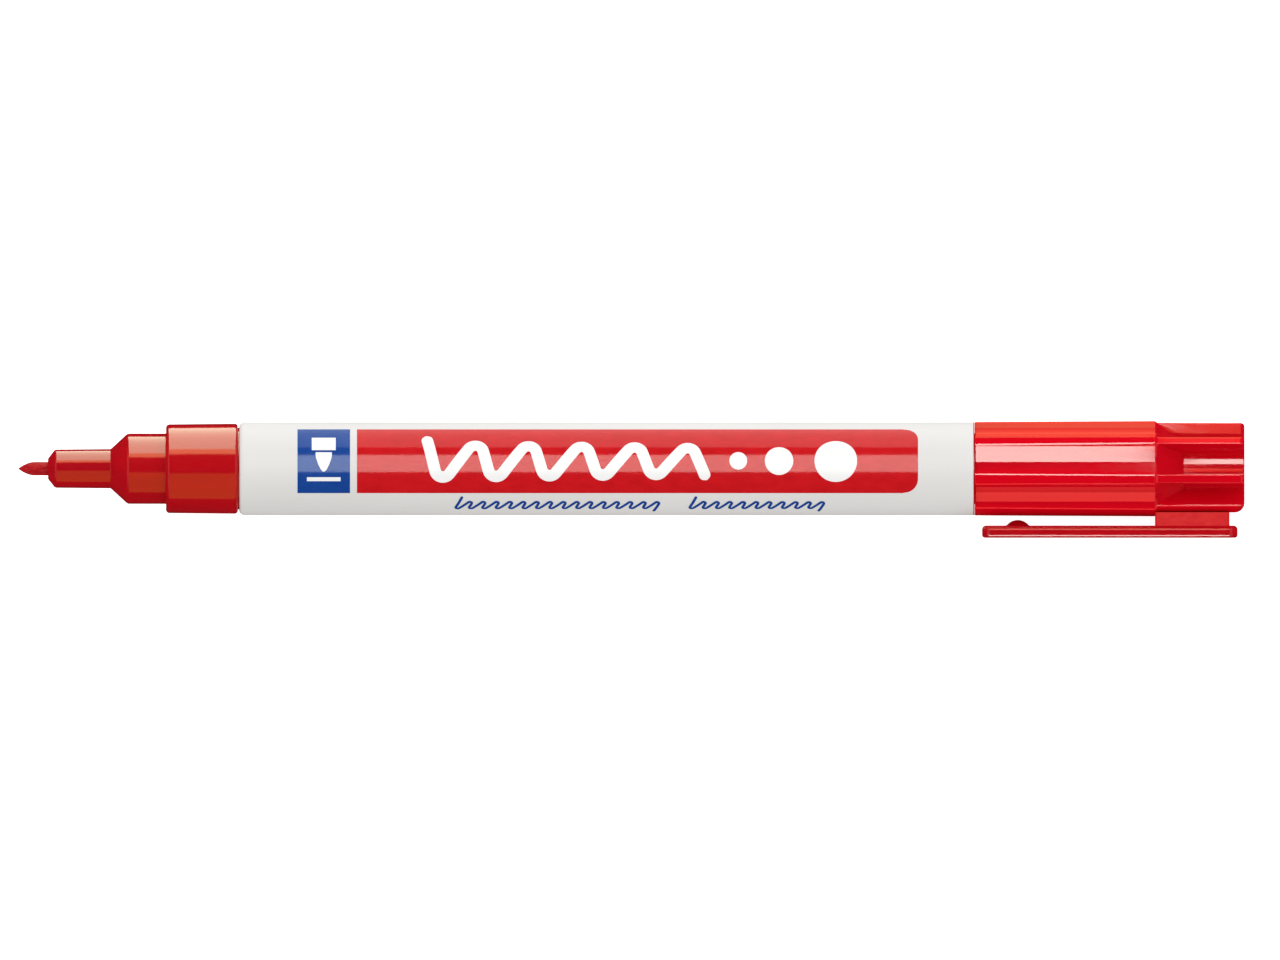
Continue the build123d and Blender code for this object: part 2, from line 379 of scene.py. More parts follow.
strand = put(bundle, "GeometryNodeCurveToMesh", line, ring, Scale=thin, Fill_Caps=True).outputs[0]
spots = put(bundle, "GeometryNodePoints", Count=sizes["Strands"]).outputs[0]
index = put(bundle, "GeometryNodeInputIndex").outputs[0]
stray = put(bundle, "FunctionNodeRandomValue", settings={"data_type": "FLOAT"})
stray.inputs[2].default_value, stray.inputs[3].default_value = -0.25, 0.25
bundle.links.new(sizes["Seed"], stray.inputs["Seed"])
turn = sum_of(bundle, "DIVIDE", sum_of(bundle, "ADD", index, stray.outputs[1]), sizes["Strands"])
turn = put(bundle, "ShaderNodeCombineXYZ", sum_of(bundle, "MULTIPLY", turn, 2 * pi), 0.0, 0.0).outputs[0]
strands = put(bundle, "GeometryNodeInstanceOnPoints", spots, Instance=strand, Rotation=turn).outputs[0]
strands = put(bundle, "GeometryNodeSetShadeSmooth", strands).outputs[0]
joined = put(bundle, "GeometryNodeJoinGeometry")
for part in (sizes["Geometry"], strands):
    bundle.links.new(part, joined.inputs[0])
end_tree(bundle, joined.outputs[0], sizes["Ink"], result[0])
modified(nib, bundle, strand_sizes)
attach(nib, "pen")
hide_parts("nib")

# ---- Ink reservoir and its film ----
# Inside the barrel, out of sight: a bundle of crimped polyester fibre that holds the ink, in a thin clear
# film wrapped round it. It is squeezed between the holder's spigot and the rear plug.

core_fibre, core_tree, core_skin = finish_of("soaked_polyester")
crimp = grain(core_tree, 0.25, stretch=12, detail=5)
ink_spread = grain(core_tree, 6, stretch=3, detail=2, seed=0.4)
paler = ranged(core_tree, ink_spread, 0.35, 0.6, 0, 1)
core_colour = mixed(core_tree, paler, (0.5, 0.01, 0.02), (0.8, 0.1, 0.09))
strands_seen = ranged(core_tree, crimp, 0.5, 0.7, 0, 0.5)
core_colour = mixed(core_tree, strands_seen, core_colour, (0.85, 0.42, 0.38))
core_tree.links.new(core_colour, core_skin.inputs["Base Color"])
core_skin.inputs["Roughness"].default_value = 0.8
core_bump = put(core_tree, "ShaderNodeBump", Strength=0.7, Distance=0.05 * mm, Height=crimp)
core_tree.links.new(core_bump.outputs[0], core_skin.inputs["Normal"])

film, film_tree, film_skin = finish_of("clear_film")
crease = grain(film_tree, 1.2, stretch=4, detail=4)
film_tree.links.new(
    mixed(film_tree, ranged(film_tree, crease, 0.3, 0.7, 0, 1), (0.80, 0.52, 0.5), (0.9, 0.74, 0.72)),
    film_skin.inputs["Base Color"],
)
film_tree.links.new(ranged(film_tree, crease, 0.3, 0.7, 0.12, 0.3), film_skin.inputs["Roughness"])
film_bump = put(film_tree, "ShaderNodeBump", Strength=0.4, Distance=0.05 * mm, Height=crease)
film_tree.links.new(film_bump.outputs[0], film_skin.inputs["Normal"])
film_skin.inputs["Alpha"].default_value = 0.45

for node, finish in (("ink_reservoir", core_fibre), ("reservoir_film", film)):
    for slot in frame["nodes"][node].material_slots:
        slot.material = finish

# ---- Barrel ----
# A thin drawn tube in pale grey-white lacquer. Its front edge is rolled in over the holder's neck, and its
# rear edge is cut square against the plug's flange.

barrel_white, barrel_tree, barrel_skin = finish_of("barrel_lacquer")
cloud = grain(barrel_tree, 7, stretch=4, detail=3)
dust = grain(barrel_tree, 0.16, detail=4, seed=0.2)
clouded = ranged(barrel_tree, cloud, 0.3, 0.7, 0, 1)
lacquer = mixed(barrel_tree, clouded, (0.805, 0.793, 0.780), (0.845, 0.833, 0.820))
dusty = ranged(barrel_tree, dust, 0.62, 0.75, 0, 0.25)
lacquer = mixed(barrel_tree, dusty, lacquer, (0.70, 0.69, 0.68))
barrel_tree.links.new(lacquer, barrel_skin.inputs["Base Color"])
barrel_tree.links.new(ranged(barrel_tree, cloud, 0.3, 0.7, 0.36, 0.46), barrel_skin.inputs["Roughness"])
barrel_skin.inputs["Specular IOR Level"].default_value = 0.05
orange_peel = grain(barrel_tree, 0.4)
peel = put(barrel_tree, "ShaderNodeBump", Strength=0.12, Distance=0.02 * mm, Height=orange_peel)
barrel_tree.links.new(peel.outputs[0], barrel_skin.inputs["Normal"])

x_rear = reach("barrel")[1]
barrel_r, barrel_wall, lip = 5.25, 0.4, 0.6
barrel = turned(
    "barrel_tube",
    rounded([
        (x_front, barrel_r, lip),
        (x_rear, barrel_r, 0.05),
        (x_rear, barrel_r - barrel_wall, 0),
        (x_front + barrel_wall, barrel_r - barrel_wall, lip - barrel_wall),
        (x_front + barrel_wall, barrel_r - lip, 0),
        (x_front, barrel_r - lip, 0),
    ]),
    barrel_white,
)
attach(barrel, "pen")
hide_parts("barrel")

# ---- Printing ----
# Screen-printed ink films on the barrel: a long red panel, a blue badge beside it, white and blue marks. The
# marks are plain ones: strokes such as the pen draws, dots for line widths, and a nib sign on the badge.

ink_lift, ink_sunk = 0.02, 0.02
print_from, print_to = -31.5, 57.4
panel_start, panel_end, panel_corner = 13.29, 76.57, 1.75
badge_start, badge_end = 6.58, 12.5
mark_level, line_level = 0.9, -4.75


def ink(name, colour, thick, rough, gloss):
    """Printed ink: a fine mesh grain from the screen, thinner and thicker places, and a slight gloss."""
    material, tree, skin = finish_of(name)
    patchy = ranged(tree, grain(tree, 0.9, stretch=2, detail=4), 0.3, 0.7, 0, 1)
    tree.links.new(mixed(tree, patchy, colour, thick), skin.inputs["Base Color"])
    dulled = ranged(tree, grain(tree, 0.2, detail=2), 0.3, 0.7, rough * 0.85, rough * 1.2)
    tree.links.new(dulled, skin.inputs["Roughness"])
    skin.inputs["Specular IOR Level"].default_value = gloss
    screen = grain(tree, 0.15, detail=1)
    mesh_mark = put(tree, "ShaderNodeBump", Strength=0.1, Distance=0.01 * mm, Height=screen)
    tree.links.new(mesh_mark.outputs[0], skin.inputs["Normal"])
    return material


red_ink = ink("print_red", (0.60, 0.007, 0.012), (0.68, 0.010, 0.015), rough=0.11, gloss=0.2)
blue_ink = ink("print_blue", (0.008, 0.055, 0.30), (0.012, 0.07, 0.34), rough=0.13, gloss=0.2)
white_ink = ink("print_white", (0.97, 0.97, 0.97), (1.0, 1.0, 1.0), rough=0.3, gloss=0.15)


def printed(name, rows, material, layer=1):
    """A closed film of ink from rows of (height round the barrel, from x, to x), in millimetres."""
    shell = bmesh.new()
    columns = 6
    top, bottom = [], []
    for height, x_from, x_to in rows:
        turn = pi / 2 + height / barrel_r
        for sheet, r in ((top, barrel_r + ink_lift * layer), (bottom, barrel_r - ink_sunk)):
            xs = (x_from + (x_to - x_from) * k / columns for k in range(columns + 1))
            sheet.append([shell.verts.new(on_pen(x, rect(r, turn))) for x in xs])
    for sheet in (top, bottom):
        for here, there in zip(sheet, sheet[1:]):
            for k in range(columns):
                shell.faces.new((here[k], here[k + 1], there[k + 1], there[k]))
    rim_top, rim_bottom = (
        [row[-1] for row in sheet] + sheet[-1][-2::-1]
        + [row[0] for row in sheet[-2::-1]] + sheet[0][1:-1]
        for sheet in (top, bottom)
    )
    for k, corner in enumerate(rim_top):
        shell.faces.new((rim_top[k - 1], corner, rim_bottom[k], rim_bottom[k - 1]))
    piece = keep_mesh(name, shell, material)
    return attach(piece, "pen")


def steps(low, high, count):
    """Evenly spaced values from low to high, both among them."""
    return [low + (high - low) * k / count for k in range(count + 1)]


def bowed(height, low, high, corner):
    """How far a rounded end falls back at a height between its low and high edges."""
    near = min(height - low, high - height, corner)
    return corner - sqrt(max(0.0, corner**2 - (corner - near) ** 2))


print_low, print_high = barrel_r * radians(print_from), barrel_r * radians(print_to)
panel_from, panel_to = x_front + panel_start, x_front + panel_end
badge_from, badge_to = x_front + badge_start, x_front + badge_end
heights = steps(print_low, print_high, 40)
corner_heights = steps(print_low, print_low + panel_corner, 12)
corner_heights += steps(print_high - panel_corner, print_high, 12)
panel_rows = [
    (height, panel_from, panel_to - bowed(height, print_low, print_high, panel_corner))
    for height in sorted(set(heights + corner_heights))
]
printed("print_panel", panel_rows, red_ink)
printed("print_badge", [(height, badge_from, badge_to) for height in heights], blue_ink)

badge_x, badge_mid = (badge_from + badge_to) / 2, (print_low + print_high) / 2
tip_rows = [
    (badge_mid + 0.2 + rise, badge_x - half, badge_x + half)
    for rise, half in ((-1.7, 0.12), (-1.45, 0.34), (-0.9, 0.62), (-0.2, 0.86), (0.15, 0.92), (0.5, 0.92))
]
printed("print_badge_tip", tip_rows, white_ink, layer=2)
for name, half, low, high, count in (("body", 1.35, 0.95, 2.6, 8), ("line", 1.9, -2.6, -2.15, 3)):
    bar_rows = [
        (height, badge_x - half, badge_x + half)
        for height in steps(badge_mid + low, badge_mid + high, count)
    ]
    printed(f"print_badge_{name}", bar_rows, white_ink, layer=2)

for number, (dot_from_front, dot_r) in enumerate(((56.3, 1.0), (60.9, 1.6), (67.3, 2.4))):
    dot_x = x_front + dot_from_front
    dot_rows = [
        (mark_level + dot_r * sin(turn), dot_x - dot_r * cos(turn), dot_x + dot_r * cos(turn))
        for turn in steps(-pi / 2 + 0.04, pi / 2 - 0.04, 40)
    ]
    printed(f"print_dot_{number + 1}", dot_rows, white_ink, layer=2)

stroke_sizes = {
    "Start": 0.0,
    "Length": 0.0,
    "Corners": 10,
    "Swing": 0.0,
    "Taper": 0.0,
    "Slant": 0.0,
    "Stroke": 0.0,
    "Turn radius": 0.0,
    "Level": 0.0,
    "Barrel radius": barrel_r * mm,
    "Layer": ink_lift * mm,
    "Ink": white_ink,
}
stroke_tree, sizes, result = new_tree("drawn_stroke", stroke_sizes)
line = put(stroke_tree, "GeometryNodeCurvePrimitiveLine", End=(1, 0, 0)).outputs[0]
line = put(stroke_tree, "GeometryNodeResampleCurve", line, Count=sizes["Corners"]).outputs["Curve"]
share = put(stroke_tree, "GeometryNodeSplineParameter").outputs["Factor"]
index = put(stroke_tree, "GeometryNodeInputIndex").outputs[0]
down = sum_of(stroke_tree, "MULTIPLY_ADD", sum_of(stroke_tree, "MODULO", index, 2.0), -2.0, 1.0)
fading = sum_of(stroke_tree, "MULTIPLY", sizes["Taper"], -1.0)
fading = sum_of(stroke_tree, "MULTIPLY_ADD", share, fading, 1.0)
swing = sum_of(stroke_tree, "MULTIPLY", down, sum_of(stroke_tree, "MULTIPLY", fading, sizes["Swing"]))
forward = sum_of(stroke_tree, "MULTIPLY_ADD", share, sizes["Length"], sizes["Start"])
forward = sum_of(stroke_tree, "MULTIPLY_ADD", swing, sizes["Slant"], forward)
spot = put(stroke_tree, "ShaderNodeCombineXYZ", forward, swing, 0.0).outputs[0]
line = put(stroke_tree, "GeometryNodeSetPosition", line, Position=spot).outputs[0]
bends = {"mode": "POLY"}
line = put(stroke_tree, "GeometryNodeFilletCurve", line, Radius=sizes["Turn radius"], settings=bends)
line.inputs["Count"].default_value = 10
pace = sum_of(stroke_tree, "DIVIDE", sizes["Stroke"], 7.0)
paced = {"mode": "LENGTH"}
line = put(stroke_tree, "GeometryNodeResampleCurve", line.outputs[0], settings=paced, Length=pace)
gone = put(stroke_tree, "GeometryNodeSplineParameter").outputs["Length"]
whole = put(stroke_tree, "GeometryNodeSplineLength").outputs["Length"]
from_end = sum_of(stroke_tree, "MINIMUM", gone, sum_of(stroke_tree, "SUBTRACT", whole, gone))
from_end = sum_of(stroke_tree, "DIVIDE", from_end, sum_of(stroke_tree, "DIVIDE", sizes["Stroke"], 2.0))
short = sum_of(stroke_tree, "MAXIMUM", sum_of(stroke_tree, "SUBTRACT", 1.0, from_end), 0.0)
squared = sum_of(stroke_tree, "MULTIPLY", short, -0.98)
squared = sum_of(stroke_tree, "MULTIPLY_ADD", short, squared, 1.0)
round_end = sum_of(stroke_tree, "SQRT", squared)
wide = sizes["Stroke"]
flat = put(stroke_tree, "GeometryNodeCurvePrimitiveQuadrilateral", wide, wide).outputs[0]
flat = put(stroke_tree, "GeometryNodeSubdivideCurve", flat, Cuts=5).outputs[0]
line = line.outputs[0]
ribbon = put(stroke_tree, "GeometryNodeCurveToMesh", line, flat, Scale=round_end, Fill_Caps=True).outputs[0]
place = put(stroke_tree, "GeometryNodeInputPosition").outputs[0]
place = put(stroke_tree, "ShaderNodeSeparateXYZ", place).outputs
lift = sum_of(stroke_tree, "MULTIPLY", sum_of(stroke_tree, "SIGN", place[2]), sizes["Layer"])
lift = sum_of(stroke_tree, "ADD", lift, sizes["Layer"])
radius = sum_of(stroke_tree, "ADD", sizes["Barrel radius"], lift)
turn = sum_of(stroke_tree, "ADD", place[1], sizes["Level"])
turn = sum_of(stroke_tree, "DIVIDE", turn, sizes["Barrel radius"])
wrapped = put(stroke_tree, "ShaderNodeCombineXYZ", place[0], 0.0, 0.0).outputs[0]
scaled, added = {"operation": "SCALE"}, {"operation": "ADD"}
for direction, how in ((facing, "COSINE"), (-to_clip, "SINE")):
    out = sum_of(stroke_tree, "MULTIPLY", radius, sum_of(stroke_tree, how, turn))
    reached = put(stroke_tree, "ShaderNodeVectorMath", direction, settings=scaled, Scale=out).outputs[0]
    wrapped = put(stroke_tree, "ShaderNodeVectorMath", wrapped, reached, settings=added).outputs[0]
ribbon = put(stroke_tree, "GeometryNodeSetPosition", ribbon, Position=wrapped).outputs[0]
end_tree(stroke_tree, ribbon, sizes["Ink"], result[0])


def drawn(name, material, start, length, corners, swing, taper, slant, stroke, turn_r, level):
    """A printed zigzag stroke, in millimetres along and round the barrel."""
    piece = bpy.data.objects.new(name, bpy.data.meshes.new(name))
    bpy.context.scene.collection.objects.link(piece)
    lengths = {"Start": start, "Length": length, "Swing": swing, "Stroke": stroke, "Turn radius": turn_r}
    lengths = {key: value * mm for key, value in lengths.items()}
    plain = {"Corners": corners, "Taper": taper, "Slant": slant, "Level": level * mm, "Ink": material}
    modified(piece, stroke_tree, {**stroke_sizes, **lengths, **plain})
    shell = bmesh.new()
    shell.from_mesh(piece.data)
    bpy.data.objects.remove(piece)
    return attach(keep_mesh(name, shell, material), "pen")


drawn(
    "print_stroke", white_ink, x_front + 20.3, length=33, corners=12,
    swing=3.1, taper=0.3, slant=0.25, stroke=1.3, turn_r=0.9, level=mark_level,
)
for number, (line_from, line_length, corners) in enumerate(((24.2, 23.4, 32), (50.6, 15.6, 22))):
    drawn(
        f"print_line_{number + 1}", blue_ink, x_front + line_from, line_length, corners,
        swing=1.4, taper=0.1, slant=0.7, stroke=0.3, turn_r=0.22, level=line_level,
    )

# ---- Rear plug ----
# A red polypropylene cup pushed into the barrel's open end. A thin flange is all that shows of it between
# barrel and cap. Its spigot is as thick as the holder's seat, so the posted cap grips it.

plug_red = moulded(
    "plug_satin_red",
    bright=(0.62, 0.005, 0.012),
    deep=(0.46, 0.003, 0.011),
    # Painted shade: the red darkens towards the axis, inside the cup and on the post.
    tone_and_shade_share=lambda tree: ranged(tree, from_axis(tree), 2.0, 5.2, 0.4, 0.9),
    rough=0.24,
    pitted=0.22,
    texture=0.12,
)
x_plug, x_post = reach("rear_plug")
plug_wall, flange, post_round, post_round_inner = 0.9, 0.12, 0.8, 0.4
rear_plug = turned(
    "rear_plug_moulding",
    rounded([
        (x_plug, seat_r - plug_wall, 0.1),
        (x_plug, spigot_r, spigot_round),
        (x_rear, spigot_r, 0),
        (x_rear, barrel_r, 0),
        (x_rear + flange, barrel_r, 0.05),
        (x_rear + flange, seat_r, broken_edge),
        (x_post, seat_r, post_round),
        (x_post, 0, 0),
        (x_post - plug_wall, 0, 0),
        (x_post - plug_wall, seat_r - plug_wall, post_round_inner),
    ]),
    plug_red,
)
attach(rear_plug, "pen")
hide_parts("rear_plug")

# ---- Cap ----
# Glossy red polypropylene, moulded closed at one end. Seven equal divisions: six long scoops between narrow
# lands, and a broad land under the clip. Behind the sleeve the scoops drop into deep bays between fins.

sleeve_length, ramp_length, cap_bore_length, tip_bore_end, tip_bore_lead = 20.325, 3.2, 19.75, 28.65, 0.6
x_mouth, x_cap = reach("cap_body")
x_sleeve = x_mouth + sleeve_length
x_ramp = x_sleeve + ramp_length
x_tip_bore = x_mouth + tip_bore_end
rib_step = 2 * pi / 7
scoop_half, scoop_r = radians(20.3), 5.1
clip_side = radians(36)
land_ease, fin_ease, clip_side_ease = 0.14, 0.1, 0.16
cap_r_mouth, cap_r, fin_r, fin_core_r, fin_round = 5.275, 5.375, 5.17, 2.74, 0.45
cap_bore_r, tip_bore_r, clip_pad, pad_round = 3.995, 1.7, 4.94, 1.1
sleeve_scoop = cap_r * cos(scoop_half) + sqrt(scoop_r**2 - (cap_r * sin(scoop_half)) ** 2)
bay_scoop = fin_core_r + scoop_r
mouth_edge, bay_edge, step_run = 0.12, 0.1, 0.3


def scooped(off, middle, inset):
    """Radius of a scoop's floor at an angle off its middle, its cutter's centre that far from the axis."""
    return middle * cos(off) - sqrt(scoop_r**2 - (middle * sin(off)) ** 2) - inset


def land_edge(wall, inward, land, floor, ease):
    """The eased edge of a land and the wall below it, and the angle where the floor starts."""
    while floor(wall) > land(wall):
        wall += inward * radians(0.1)
    top, bottom = land(wall), min(land(wall), floor(wall))
    outer = wall - inward * ease / top
    on_land = rect(land(outer), outer)
    floor_from = wall + inward * max(0.0, ease - (top - bottom)) / bottom
    walled = top - bottom > ease
    below = rect(top - ease, wall) if walled else rect(floor(floor_from), floor_from)
    corner = rect(top, wall)
    curve = [(1 - t) ** 2 * on_land + 2 * t * (1 - t) * corner + t * t * below for t in steps(0, 1, 5)]
    foot = rect(floor(wall), wall) if walled else below
    return outer, [*curve, foot], floor_from


def held(start, stop, count, hold=radians(0.35)):
    """Angles from start to stop, with one close to each end."""
    away = hold if stop > start else -hold
    return [start, start + away, *steps(start, stop, count)[1:-1], stop - away, stop]


def scoop_outline(start, stop, walls, land, floor, eases):
    """Half-lands and the scoop or bay between them, as complex numbers from start to stop."""
    before, rise, floor_low = land_edge(walls[0], 1, land, floor, eases[0])
    after, fall, floor_high = land_edge(walls[1], -1, land, floor, eases[1])
    points = [rect(land(angle), angle) for angle in held(start, before, 4)[:-1]]
    points += rise
    points += [rect(floor(angle), angle) for angle in held(floor_low, floor_high, 22)[1:-1]]
    points += fall[::-1]
    return points + [rect(land(angle), angle) for angle in held(after, stop, 4)[1:]]


def cap_rows():
    """Outlines of one plain division and of the three about the clip, from the closed end to the mouth.

    A row is its place, the land's radius, the scoop's middle, the edge's inset and whether it is finned.
    """
    stations = []
    for degrees in (0, 8, 16, 24, 32, 40, 50, 60, 75, 90):
        back = fin_round * (1 - cos(radians(degrees)))
        inset = bay_edge - sqrt(bay_edge**2 - max(0.0, bay_edge - back) ** 2)
        stations.append((x_cap - back, fin_r - fin_round * (1 - sin(radians(degrees))), None, inset, True))
    pad_rows = (x_cap - 0.5, x_cap - 0.7, x_cap - 0.9, x_cap - pad_round)
    for x in (*pad_rows, x_ramp + 3, x_ramp + 0.05, x_ramp + 0.02):
        stations.append((x, fin_r, None, 0, True))
    for x in (x_ramp, *steps(x_ramp - 0.02, x_sleeve + step_run + 0.02, 24), x_sleeve + step_run):
        drop = (x - x_sleeve) / (x_ramp - x_sleeve)
        stations.append((x, fin_r, sleeve_scoop + (bay_scoop - sleeve_scoop) * drop, 0, True))
    stations.append((x_sleeve + 0.01, cap_r - 0.03, sleeve_scoop, 0, False))
    stations.append((x_sleeve, cap_r - 0.01, sleeve_scoop, 0, False))
    for x in (x_sleeve - 0.04, x_sleeve - 0.08, *steps(x_sleeve - 2, x_mouth + 2, 6), x_mouth + 0.2):
        land_r = cap_r_mouth + (cap_r - cap_r_mouth) * (x - x_mouth) / (x_sleeve - x_mouth)
        stations.append((x, land_r, sleeve_scoop, 0, False))
    for degrees in (90, 75, 60, 45, 30, 15, 0):
        inset = mouth_edge * (1 - sin(radians(degrees)))
        x = x_mouth + mouth_edge * (1 - cos(radians(degrees)))
        stations.append((x, cap_r_mouth - inset, sleeve_scoop, inset, False))
    for x, land_r, middle, inset, finned in stations:
        shift = inset / 4
        walls = (-scoop_half - shift, scoop_half + shift) if finned else (-scoop_half, scoop_half)
        ease = fin_ease if finned else land_ease
        corner_run = max(0.0, x - x_cap + pad_round)
        pad = clip_pad - pad_round + sqrt(pad_round**2 - corner_run**2) if finned else cap_r

        def floor(off):
            return fin_core_r - inset if middle is None else scooped(off, middle, inset)

        def padded_land(angle):
            return min(land_r, pad / cos(angle)) if abs(angle) < 1 else land_r

        plain = scoop_outline(-rib_step / 2, rib_step / 2, walls, lambda _: land_r, floor, (ease, ease))
        low = clip_side - shift if finned else rib_step - scoop_half
        near_clip = scoop_outline(
            0, 1.5 * rib_step, (low, rib_step + walls[1]), padded_land,
            lambda angle: floor(angle - rib_step), (clip_side_ease if finned else ease, ease),
        )
        yield x, plain, [point.conjugate() for point in near_clip[:0:-1]] + near_clip


def cap_bore(outline):
    """Rings of the inside, from the mouth to the blind end, at the angles of the mouth's outline."""
    bore = rounded([
        (x_mouth, cap_bore_r, 0.15),
        (x_mouth + cap_bore_length, cap_bore_r, 0),
        (x_ramp - tip_bore_lead, tip_bore_r, 0),
        (x_tip_bore, tip_bore_r, 0.3),
        (x_tip_bore, 0, 0),
        (x_mouth, 0, 0),
    ])
    for point in bore[2:-2]:
        yield point.real, [rect(point.imag, phase(spot)) for spot in outline]


cap_red = moulded(
    "cap_gloss_red",
    bright=(0.78, 0.0008, 0.0115),
    deep=(0.50, 0.0015, 0.009),
    # Painted shade: the lands keep the bright red, while the scoops, bays and bore take the deep red.
    tone_and_shade_share=lambda tree: ranged(tree, from_axis(tree), 4.75, 5.2, 0.5, 0.95),
    rough=0.05,
    pitted=0.015,
    texture=0.35,
)
cap_shell = bmesh.new()
division = cap_shell.faces.layers.int.new("division")
rows = list(cap_rows())
for kind, turn in ((1, 2 * rib_step), (2, 0.0)):
    outlines = [(row[0], row[kind]) for row in rows]
    outlines += cap_bore(outlines[-1][1])
    grid = [
        [cap_shell.verts.new(on_pen(x, point * rect(1, turn))) for point in outline]
        for x, outline in outlines
    ]
    for pole, row in ((x_cap, grid[0]), (x_tip_bore, grid[-1])):
        middle = cap_shell.verts.new(on_pen(pole, 0j))
        for k in range(len(row) - 1):
            cap_shell.faces.new((middle, row[k], row[k + 1]))[division] = kind
    for here, there in zip(grid, grid[1:]):
        for k in range(len(here) - 1):
            cap_shell.faces.new((here[k], here[k + 1], there[k + 1], there[k]))[division] = kind
cap = keep_mesh("cap_moulding", cap_shell, cap_red)

division_sizes = {"Plain divisions": 4, "Division": rib_step, "Join": 0.002 * mm, "Plastic": cap_red}
divided, sizes, result = new_tree("cap_divisions", division_sizes)
kind = put(divided, "GeometryNodeInputNamedAttribute", "division", settings={"data_type": "INT"})
is_plain = put(divided, "FunctionNodeCompare", settings={"data_type": "INT", "operation": "EQUAL"})
divided.links.new(kind.outputs["Attribute"], is_plain.inputs[2])
is_plain.inputs[3].default_value = 1
by_face = {"domain": "FACE"}
parted = put(
    divided, "GeometryNodeSeparateGeometry", sizes["Geometry"], is_plain.outputs[0], settings=by_face
)
spots = put(divided, "GeometryNodePoints", Count=sizes["Plain divisions"]).outputs[0]
index = put(divided, "GeometryNodeInputIndex").outputs[0]
turn = sum_of(divided, "MULTIPLY", sum_of(divided, "MULTIPLY", index, sizes["Division"]), -1.0)
turn = put(divided, "ShaderNodeCombineXYZ", turn, 0.0, 0.0).outputs[0]
plain = parted.outputs[0]
repeated = put(divided, "GeometryNodeInstanceOnPoints", spots, Instance=plain, Rotation=turn).outputs[0]
repeated = put(divided, "GeometryNodeRealizeInstances", repeated).outputs[0]
whole = put(divided, "GeometryNodeJoinGeometry")
for part in (parted.outputs[1], repeated):
    divided.links.new(part, whole.inputs[0])
merged = put(divided, "GeometryNodeMergeByDistance", whole.outputs[0], Distance=sizes["Join"]).outputs[0]
end_tree(divided, merged, sizes["Plastic"], result[0])
modified(cap, divided, division_sizes)
cap_shell = bmesh.new()
cap_shell.from_mesh(cap.data)
bpy.data.objects.remove(cap)
cap = keep_mesh("cap_moulding", cap_shell, cap_red)
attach(cap, "cap")
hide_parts("cap_body")

# ---- Pocket clip ----
# One red moulding: a long bar with eased edges, a round bump near its tip that grips the cloth, and a block
# that roots it in the flat behind the cap's sleeve. The blade bends just in front of the block.

x_clip, x_clip_end = reach("clip_arm")[0], reach("clip_root")[1]
clip_outer, clip_thick, clip_width, clip_corner = 7.79, 1.37, 5.56, 1.0
clip_round, clip_round_inner = 0.3, 0.45
root_length, root_width, root_corner, root_margin = 8.4, 5.0, 0.3, 0.1
bump_from_tip, bump_r, bump_height, bump_skirt, bump_around = 4.03, 1.6, 0.63, 0.12, 72
x_root = reach("clip_root")[0]
x_bump = x_clip + bump_from_tip
clip_inner = clip_outer - clip_thick


def clip_outline(x_from, x_to, width, corner, inset, pitch):
    """One side of a rounded rectangle, as (x, half width) pairs; the other side mirrors it."""
    turns = steps(0, pi / 2, 8)
    inner = corner - inset
    start = [(x_from + corner - inner * cos(t), width / 2 - corner + inner * sin(t)) for t in turns]
    run = x_to - x_from - 2 * corner
    count = max(1, round(run / pitch))
    middle = [(x_from + corner + run * k / count, width / 2 - inset) for k in range(1, count)]
    end = [(x_from + x_to - x, w) for x, w in reversed(start)]
    return start + middle + end


def slab(x_from, x_to, width, corner, layers, pitch):
    """A closed slab from (distance from the axis, inset) layers of one rounded rectangle."""
    shell = bmesh.new()
    sheets = []
    for out, inset in layers:
        half = clip_outline(x_from, x_to, width, corner, inset, pitch)
        pair = ([shell.verts.new(on_pen(x, complex(out, side * w))) for x, w in half] for side in (1, -1))
        sheets.append(list(pair))
    count = len(sheets[0][0])
    for side in (0, 1):
        for here, there in zip(sheets, sheets[1:]):
            for k in range(count - 1):
                shell.faces.new((here[side][k], here[side][k + 1], there[side][k + 1], there[side][k]))
    for here, there in zip(sheets, sheets[1:]):
        for k in (0, count - 1):
            shell.faces.new((here[0][k], here[1][k], there[1][k], there[0][k]))
    for sheet in (sheets[0], sheets[-1]):
        for k in range(count - 1):
            shell.faces.new((sheet[0][k], sheet[0][k + 1], sheet[1][k + 1], sheet[1][k]))
    return shell


def eased(out, toward, radius):
    """Layers of a rounded edge that starts flat on the face at that distance."""
    return [
        (out + toward * radius * (1 - cos(t)), radius * (1 - sin(t))) for t in steps(0, pi / 2, 7)
    ]


clip_red = moulded(
    "clip_gloss_red",
    bright=(0.66, 0.0035, 0.010),
    deep=(0.47, 0.002, 0.008),
    tone_and_shade_share=lambda tree: ranged(
        tree, grain(tree, 0.55, stretch=4, detail=5, seed=0.9), 0.35, 0.65, 0.1, 0.5
    ),
    rough=0.06,
    pitted=0.05,
    texture=0.2,
)
